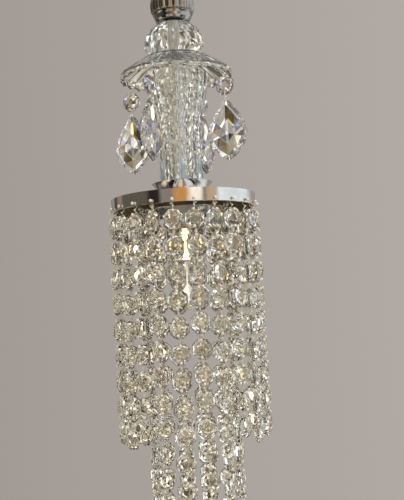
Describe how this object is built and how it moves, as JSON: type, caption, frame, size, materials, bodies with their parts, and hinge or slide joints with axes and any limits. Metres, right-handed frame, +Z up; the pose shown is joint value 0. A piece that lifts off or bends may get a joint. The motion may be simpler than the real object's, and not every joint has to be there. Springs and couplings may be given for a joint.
{
  "type": "crystal chandelier",
  "caption": "Hanging ceiling light with a glass stem, a domed glass dish with four large drops, and rings of octagon crystal strands round a candle lamp.",
  "frame": {"origin": "centre of the hanging eye's bore", "axes": "+Z up along the stem, +Y along the bore of the hanging eye"},
  "size_m": [0.1454, 0.1446, 0.6063],
  "materials": {
    "dark_chrome": "dark mirror",
    "chrome": "mirror",
    "crystal": "clear, faceted",
    "crystal_ab": "clear with an iridescent coat",
    "steel": "plain",
    "brass": "plain",
    "soft": "matt",
    "insulation": "matt",
    "holder": "satin",
    "porcelain": "plain",
    "lamp_clear": "clear, thin",
    "filament": "lit, warm"
  },
  "bodies": {
    "frame": {"hanging_loop": "dark_chrome", "cable_bush": "insulation", "top_cap": "dark_chrome", "stem_cup": "dark_chrome", "centre_tube": "steel", "seat_washers": "soft", "glass_ball": "crystal", "glass_dish": "crystal", "dish_sleeve": "chrome", "glass_vase": "crystal", "vase_collar": "chrome", "ring_pan": "chrome", "inner_ring": "chrome", "ring_screws": "steel", "tube_nut": "brass", "holder_shell": "holder", "holder_insert": "porcelain", "holder_contacts": "brass", "lamp_cap": "brass", "lamp_glass": "lamp_clear", "lamp_filament": "filament", "supply_leads": "insulation"},
    "outer_strand_01": {"outer_strand_01": "crystal"},
    "outer_strand_02": {"outer_strand_02": "crystal"},
    "outer_strand_03": {"outer_strand_03": "crystal"},
    "outer_strand_04": {"outer_strand_04": "crystal"},
    "outer_strand_05": {"outer_strand_05": "crystal"},
    "outer_strand_06": {"outer_strand_06": "crystal"},
    "outer_strand_07": {"outer_strand_07": "crystal"},
    "outer_strand_08": {"outer_strand_08": "crystal"},
    "outer_strand_09": {"outer_strand_09": "crystal"},
    "outer_strand_10": {"outer_strand_10": "crystal"},
    "outer_strand_11": {"outer_strand_11": "crystal"},
    "outer_strand_12": {"outer_strand_12": "crystal"},
    "outer_strand_13": {"outer_strand_13": "crystal"},
    "outer_strand_14": {"outer_strand_14": "crystal"},
    "outer_strand_15": {"outer_strand_15": "crystal"},
    "outer_strand_16": {"outer_strand_16": "crystal"},
    "outer_strand_17": {"outer_strand_17": "crystal"},
    "outer_strand_18": {"outer_strand_18": "crystal"},
    "outer_strand_19": {"outer_strand_19": "crystal"},
    "outer_strand_20": {"outer_strand_20": "crystal"},
    "outer_strand_21": {"outer_strand_21": "crystal"},
    "outer_strand_22": {"outer_strand_22": "crystal"},
    "inner_strand_01": {"inner_strand_01": "crystal"},
    "inner_strand_02": {"inner_strand_02": "crystal"},
    "inner_strand_03": {"inner_strand_03": "crystal"},
    "inner_strand_04": {"inner_strand_04": "crystal"},
    "inner_strand_05": {"inner_strand_05": "crystal"},
    "inner_strand_06": {"inner_strand_06": "crystal"},
    "inner_strand_07": {"inner_strand_07": "crystal"},
    "inner_strand_08": {"inner_strand_08": "crystal"},
    "inner_strand_09": {"inner_strand_09": "crystal"},
    "inner_strand_10": {"inner_strand_10": "crystal"},
    "inner_strand_11": {"inner_strand_11": "crystal"},
    "inner_strand_12": {"inner_strand_12": "crystal"},
    "drop_1": {"drop_1": "crystal_ab"},
    "drop_2": {"drop_2": "crystal_ab"},
    "drop_3": {"drop_3": "crystal_ab"},
    "drop_4": {"drop_4": "crystal_ab"}
  },
  "joints": [
    {"name": "outer_strand_01_swing", "type": "hinge", "parent": "frame", "child": "outer_strand_01", "pos_m": [0.00961, -0.06681, -0.2716], "axis": [-0.9898, -0.1423, 0], "range_deg": [-0.8, 20]},
    {"name": "outer_strand_02_swing", "type": "hinge", "parent": "frame", "child": "outer_strand_02", "pos_m": [0.02804, -0.0614, -0.2716], "axis": [-0.9096, -0.4154, 0], "range_deg": [-0.8, 20]},
    {"name": "outer_strand_03_swing", "type": "hinge", "parent": "frame", "child": "outer_strand_03", "pos_m": [0.0442, -0.05101, -0.2716], "axis": [-0.7557, -0.6549, 0], "range_deg": [-0.8, 20]},
    {"name": "outer_strand_04_swing", "type": "hinge", "parent": "frame", "child": "outer_strand_04", "pos_m": [0.05678, -0.03649, -0.2716], "axis": [-0.5406, -0.8413, 0], "range_deg": [-0.8, 20]},
    {"name": "outer_strand_05_swing", "type": "hinge", "parent": "frame", "child": "outer_strand_05", "pos_m": [0.06477, -0.01902, -0.2716], "axis": [-0.2817, -0.9595, 0], "range_deg": [-0.8, 20]},
    {"name": "outer_strand_06_swing", "type": "hinge", "parent": "frame", "child": "outer_strand_06", "pos_m": [0.0675, 0, -0.2716], "axis": [0, -1, 0], "range_deg": [-0.8, 20]},
    {"name": "outer_strand_07_swing", "type": "hinge", "parent": "frame", "child": "outer_strand_07", "pos_m": [0.06477, 0.01902, -0.2716], "axis": [0.2817, -0.9595, 0], "range_deg": [-0.8, 20]},
    {"name": "outer_strand_08_swing", "type": "hinge", "parent": "frame", "child": "outer_strand_08", "pos_m": [0.05678, 0.03649, -0.2716], "axis": [0.5406, -0.8413, 0], "range_deg": [-0.8, 20]},
    {"name": "outer_strand_09_swing", "type": "hinge", "parent": "frame", "child": "outer_strand_09", "pos_m": [0.0442, 0.05101, -0.2716], "axis": [0.7557, -0.6549, 0], "range_deg": [-0.8, 20]},
    {"name": "outer_strand_10_swing", "type": "hinge", "parent": "frame", "child": "outer_strand_10", "pos_m": [0.02804, 0.0614, -0.2716], "axis": [0.9096, -0.4154, 0], "range_deg": [-0.8, 20]},
    {"name": "outer_strand_11_swing", "type": "hinge", "parent": "frame", "child": "outer_strand_11", "pos_m": [0.00961, 0.06681, -0.2716], "axis": [0.9898, -0.1423, 0], "range_deg": [-0.8, 20]},
    {"name": "outer_strand_12_swing", "type": "hinge", "parent": "frame", "child": "outer_strand_12", "pos_m": [-0.00961, 0.06681, -0.2716], "axis": [0.9898, 0.1423, 0], "range_deg": [-0.8, 20]},
    {"name": "outer_strand_13_swing", "type": "hinge", "parent": "frame", "child": "outer_strand_13", "pos_m": [-0.02804, 0.0614, -0.2716], "axis": [0.9096, 0.4154, 0], "range_deg": [-0.8, 20]},
    {"name": "outer_strand_14_swing", "type": "hinge", "parent": "frame", "child": "outer_strand_14", "pos_m": [-0.0442, 0.05101, -0.2716], "axis": [0.7557, 0.6549, 0], "range_deg": [-0.8, 20]},
    {"name": "outer_strand_15_swing", "type": "hinge", "parent": "frame", "child": "outer_strand_15", "pos_m": [-0.05678, 0.03649, -0.2716], "axis": [0.5406, 0.8413, 0], "range_deg": [-0.8, 20]},
    {"name": "outer_strand_16_swing", "type": "hinge", "parent": "frame", "child": "outer_strand_16", "pos_m": [-0.06477, 0.01902, -0.2716], "axis": [0.2817, 0.9595, 0], "range_deg": [-0.8, 20]},
    {"name": "outer_strand_17_swing", "type": "hinge", "parent": "frame", "child": "outer_strand_17", "pos_m": [-0.0675, 0, -0.2716], "axis": [0, 1, 0], "range_deg": [-0.8, 20]},
    {"name": "outer_strand_18_swing", "type": "hinge", "parent": "frame", "child": "outer_strand_18", "pos_m": [-0.06477, -0.01902, -0.2716], "axis": [-0.2817, 0.9595, 0], "range_deg": [-0.8, 20]},
    {"name": "outer_strand_19_swing", "type": "hinge", "parent": "frame", "child": "outer_strand_19", "pos_m": [-0.05678, -0.03649, -0.2716], "axis": [-0.5406, 0.8413, 0], "range_deg": [-0.8, 20]},
    {"name": "outer_strand_20_swing", "type": "hinge", "parent": "frame", "child": "outer_strand_20", "pos_m": [-0.0442, -0.05101, -0.2716], "axis": [-0.7557, 0.6549, 0], "range_deg": [-0.8, 20]},
    {"name": "outer_strand_21_swing", "type": "hinge", "parent": "frame", "child": "outer_strand_21", "pos_m": [-0.02804, -0.0614, -0.2716], "axis": [-0.9096, 0.4154, 0], "range_deg": [-0.8, 20]},
    {"name": "outer_strand_22_swing", "type": "hinge", "parent": "frame", "child": "outer_strand_22", "pos_m": [-0.00961, -0.06681, -0.2716], "axis": [-0.9898, 0.1423, 0], "range_deg": [-0.8, 20]},
    {"name": "inner_strand_01_swing", "type": "hinge", "parent": "frame", "child": "inner_strand_01", "pos_m": [0.01035, -0.03864, -0.2716], "axis": [-0.9659, -0.2588, 0], "range_deg": [-0.8, 1.2]},
    {"name": "inner_strand_02_swing", "type": "hinge", "parent": "frame", "child": "inner_strand_02", "pos_m": [0.02828, -0.02828, -0.2716], "axis": [-0.7071, -0.7071, 0], "range_deg": [-0.8, 1.2]},
    {"name": "inner_strand_03_swing", "type": "hinge", "parent": "frame", "child": "inner_strand_03", "pos_m": [0.03864, -0.01035, -0.2716], "axis": [-0.2588, -0.9659, 0], "range_deg": [-0.8, 1.2]},
    {"name": "inner_strand_04_swing", "type": "hinge", "parent": "frame", "child": "inner_strand_04", "pos_m": [0.03864, 0.01035, -0.2716], "axis": [0.2588, -0.9659, 0], "range_deg": [-0.8, 1.2]},
    {"name": "inner_strand_05_swing", "type": "hinge", "parent": "frame", "child": "inner_strand_05", "pos_m": [0.02828, 0.02828, -0.2716], "axis": [0.7071, -0.7071, 0], "range_deg": [-0.8, 1.2]},
    {"name": "inner_strand_06_swing", "type": "hinge", "parent": "frame", "child": "inner_strand_06", "pos_m": [0.01035, 0.03864, -0.2716], "axis": [0.9659, -0.2588, 0], "range_deg": [-0.8, 1.2]},
    {"name": "inner_strand_07_swing", "type": "hinge", "parent": "frame", "child": "inner_strand_07", "pos_m": [-0.01035, 0.03864, -0.2716], "axis": [0.9659, 0.2588, 0], "range_deg": [-0.8, 1.2]},
    {"name": "inner_strand_08_swing", "type": "hinge", "parent": "frame", "child": "inner_strand_08", "pos_m": [-0.02828, 0.02828, -0.2716], "axis": [0.7071, 0.7071, 0], "range_deg": [-0.8, 1.2]},
    {"name": "inner_strand_09_swing", "type": "hinge", "parent": "frame", "child": "inner_strand_09", "pos_m": [-0.03864, 0.01035, -0.2716], "axis": [0.2588, 0.9659, 0], "range_deg": [-0.8, 1.2]},
    {"name": "inner_strand_10_swing", "type": "hinge", "parent": "frame", "child": "inner_strand_10", "pos_m": [-0.03864, -0.01035, -0.2716], "axis": [-0.2588, 0.9659, 0], "range_deg": [-0.8, 1.2]},
    {"name": "inner_strand_11_swing", "type": "hinge", "parent": "frame", "child": "inner_strand_11", "pos_m": [-0.02828, -0.02828, -0.2716], "axis": [-0.7071, 0.7071, 0], "range_deg": [-0.8, 1.2]},
    {"name": "inner_strand_12_swing", "type": "hinge", "parent": "frame", "child": "inner_strand_12", "pos_m": [-0.01035, -0.03864, -0.2716], "axis": [-0.9659, 0.2588, 0], "range_deg": [-0.8, 1.2]},
    {"name": "drop_1_swing", "type": "hinge", "parent": "frame", "child": "drop_1", "pos_m": [0.02521, 0.04548, -0.1445], "axis": [0.8746, -0.4848, 0], "range_deg": [-6, 20]},
    {"name": "drop_2_swing", "type": "hinge", "parent": "frame", "child": "drop_2", "pos_m": [-0.04548, 0.02521, -0.1445], "axis": [0.4848, 0.8746, 0], "range_deg": [-6, 20]},
    {"name": "drop_3_swing", "type": "hinge", "parent": "frame", "child": "drop_3", "pos_m": [-0.02521, -0.04548, -0.1445], "axis": [-0.8746, 0.4848, 0], "range_deg": [-6, 20]},
    {"name": "drop_4_swing", "type": "hinge", "parent": "frame", "child": "drop_4", "pos_m": [0.04548, -0.02521, -0.1445], "axis": [-0.4848, -0.8746, 0], "range_deg": [-6, 20]}
  ]
}
